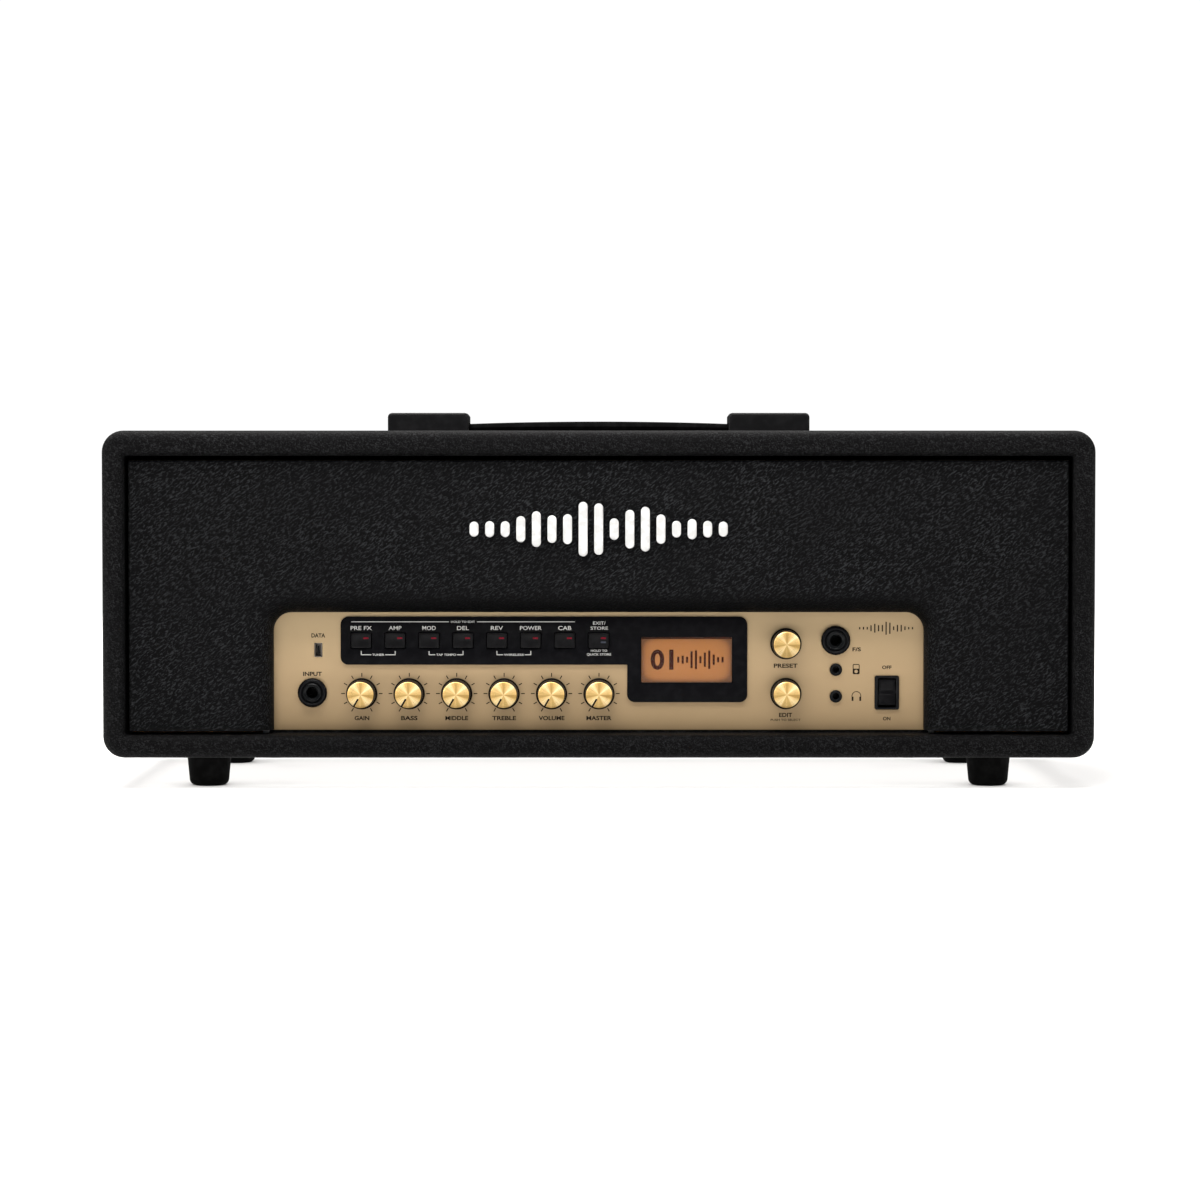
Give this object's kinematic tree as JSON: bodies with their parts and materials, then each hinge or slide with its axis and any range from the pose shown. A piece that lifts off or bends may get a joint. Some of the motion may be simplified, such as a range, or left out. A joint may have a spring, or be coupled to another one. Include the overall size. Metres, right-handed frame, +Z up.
{
  "type": "guitar amplifier head",
  "caption": "Compact guitar amplifier head: vinyl-covered box with a recessed gold control panel, knobs, push buttons, display, sockets and a strap handle.",
  "frame": {"origin": "on the surface that the feet stand on, under the middle of the cabinet", "axes": "+X right as seen from the front, -Y out of the front, +Z up"},
  "size_m": [0.6, 0.246, 0.229],
  "materials": {
    "plywood": "raw birch ply",
    "cabinet_vinyl": "embossed levant grain",
    "baffle_vinyl": "coarse elephant grain",
    "badge_white": "satin",
    "foot_rubber": "matte",
    "screw_steel": "zinc plated",
    "nut_steel": "nickel plated",
    "cap_plastic": "fine texture",
    "strap_rubber": "moulded grain",
    "tray_steel": "black powder coat",
    "panel_gold": "brushed gold anodised",
    "bezel_black": "gloss",
    "window_clear": "clear",
    "display_amber": "backlit",
    "circuit_board": "solder resist",
    "winding": "taped copper",
    "heatsink_metal": "anodised",
    "control_metal": "satin",
    "switch_plastic": "matte",
    "jack_plastic": "satin",
    "port_metal": "tin plated",
    "switch_gloss": "satin",
    "rear_steel": "black powder coat",
    "inlet_plastic": "satin",
    "plunger_white": "satin",
    "knob_black": "satin",
    "cap_gold": "spun",
    "button_black": "satin"
  },
  "bodies": {
    "cabinet": {"cabinet_carcass": "plywood", "vinyl_covering": "cabinet_vinyl", "baffle_board": "plywood", "baffle_covering": "baffle_vinyl", "badge": "badge_white", "rubber_feet": "foot_rubber", "wood_screws": "screw_steel", "handle_caps": "cap_plastic", "chassis_tray": "tray_steel", "machine_screws": "screw_steel", "control_panel": "panel_gold", "button_bezel": "bezel_black", "display_window": "window_clear", "display_module": "display_amber", "control_board": "circuit_board", "main_board": "circuit_board", "power_board": "circuit_board", "transformer": "winding", "heatsink": "heatsink_metal", "potentiometers": "control_metal", "encoders": "control_metal", "control_nuts": "nut_steel", "tact_switches": "switch_plastic", "jack_sockets": "jack_plastic", "jack_nuts": "jack_plastic", "small_jacks": "jack_plastic", "data_port": "port_metal", "switch_housing": "switch_gloss", "rear_panel": "rear_steel", "mains_inlet": "inlet_plastic"},
    "button_1": {"button_1": "button_black"},
    "button_2": {"button_2": "button_black"},
    "button_3": {"button_3": "button_black"},
    "button_4": {"button_4": "button_black"},
    "button_5": {"button_5": "button_black"},
    "button_6": {"button_6": "button_black"},
    "button_7": {"button_7": "button_black"},
    "button_8": {"button_8": "button_black"},
    "knob_1": {"knob_1": "knob_black", "knob_cap_1": "cap_gold"},
    "knob_2": {"knob_2": "knob_black", "knob_cap_2": "cap_gold"},
    "knob_3": {"knob_3": "knob_black", "knob_cap_3": "cap_gold"},
    "knob_4": {"knob_4": "knob_black", "knob_cap_4": "cap_gold"},
    "knob_5": {"knob_5": "knob_black", "knob_cap_5": "cap_gold"},
    "knob_6": {"knob_6": "knob_black", "knob_cap_6": "cap_gold"},
    "preset_knob": {"preset_knob": "knob_black", "preset_cap": "cap_gold"},
    "edit_push": {"edit_plunger": "plunger_white"},
    "edit_knob": {"edit_knob": "knob_black", "edit_cap": "cap_gold"},
    "power_rocker": {"power_rocker": "switch_gloss"},
    "handle_strap": {"handle_strap": "strap_rubber", "strap_core": "screw_steel"},
    "fuse_drawer": {"fuse_drawer": "inlet_plastic"}
  },
  "joints": [
    {"name": "button_1_press", "type": "slide", "parent": "cabinet", "child": "button_1", "axis": [0, 1, 0], "range_m": [0, 0.0008], "stiffness_N_per_m": 300, "springref_m": -0.001},
    {"name": "button_2_press", "type": "slide", "parent": "cabinet", "child": "button_2", "axis": [0, 1, 0], "range_m": [0, 0.0008], "stiffness_N_per_m": 300, "springref_m": -0.001},
    {"name": "button_3_press", "type": "slide", "parent": "cabinet", "child": "button_3", "axis": [0, 1, 0], "range_m": [0, 0.0008], "stiffness_N_per_m": 300, "springref_m": -0.001},
    {"name": "button_4_press", "type": "slide", "parent": "cabinet", "child": "button_4", "axis": [0, 1, 0], "range_m": [0, 0.0008], "stiffness_N_per_m": 300, "springref_m": -0.001},
    {"name": "button_5_press", "type": "slide", "parent": "cabinet", "child": "button_5", "axis": [0, 1, 0], "range_m": [0, 0.0008], "stiffness_N_per_m": 300, "springref_m": -0.001},
    {"name": "button_6_press", "type": "slide", "parent": "cabinet", "child": "button_6", "axis": [0, 1, 0], "range_m": [0, 0.0008], "stiffness_N_per_m": 300, "springref_m": -0.001},
    {"name": "button_7_press", "type": "slide", "parent": "cabinet", "child": "button_7", "axis": [0, 1, 0], "range_m": [0, 0.0008], "stiffness_N_per_m": 300, "springref_m": -0.001},
    {"name": "button_8_press", "type": "slide", "parent": "cabinet", "child": "button_8", "axis": [0, 1, 0], "range_m": [0, 0.0008], "stiffness_N_per_m": 300, "springref_m": -0.001},
    {"name": "knob_1_turn", "type": "hinge", "parent": "cabinet", "child": "knob_1", "pos_m": [-0.1445, -0.0972, 0.0568], "axis": [0, 1, 0], "range_deg": [0, 300]},
    {"name": "knob_2_turn", "type": "hinge", "parent": "cabinet", "child": "knob_2", "pos_m": [-0.11556, -0.0972, 0.0568], "axis": [0, 1, 0], "range_deg": [0, 300]},
    {"name": "knob_3_turn", "type": "hinge", "parent": "cabinet", "child": "knob_3", "pos_m": [-0.08662, -0.0972, 0.0568], "axis": [0, 1, 0], "range_deg": [0, 300]},
    {"name": "knob_4_turn", "type": "hinge", "parent": "cabinet", "child": "knob_4", "pos_m": [-0.05768, -0.0972, 0.0568], "axis": [0, 1, 0], "range_deg": [0, 300]},
    {"name": "knob_5_turn", "type": "hinge", "parent": "cabinet", "child": "knob_5", "pos_m": [-0.02874, -0.0972, 0.0568], "axis": [0, 1, 0], "range_deg": [0, 300]},
    {"name": "knob_6_turn", "type": "hinge", "parent": "cabinet", "child": "knob_6", "pos_m": [0.0002, -0.0972, 0.0568], "axis": [0, 1, 0], "range_deg": [0, 300]},
    {"name": "preset_turn", "type": "hinge", "parent": "cabinet", "child": "preset_knob", "pos_m": [0.1141, -0.0972, 0.0873], "axis": [0, 1, 0], "continuous": true},
    {"name": "edit_press", "type": "slide", "parent": "cabinet", "child": "edit_push", "axis": [0, 1, 0], "range_m": [0, 0.0004], "stiffness_N_per_m": 800, "springref_m": -0.0006},
    {"name": "edit_turn", "type": "hinge", "parent": "edit_push", "child": "edit_knob", "pos_m": [0.1141, -0.0972, 0.0569], "axis": [0, 1, 0], "continuous": true},
    {"name": "power_rock", "type": "hinge", "parent": "cabinet", "child": "power_rocker", "pos_m": [0.1758, -0.0968, 0.0574], "axis": [1, 0, 0], "range_deg": [0, 20]},
    {"name": "handle_lift", "type": "slide", "parent": "cabinet", "child": "handle_strap", "axis": [0, 0, 1], "range_m": [0, 0.024], "deforming": ["handle_strap"]},
    {"name": "fuse_drawer_slide", "type": "slide", "parent": "cabinet", "child": "fuse_drawer", "axis": [0, 1, 0], "range_m": [0, 0.018]}
  ]
}
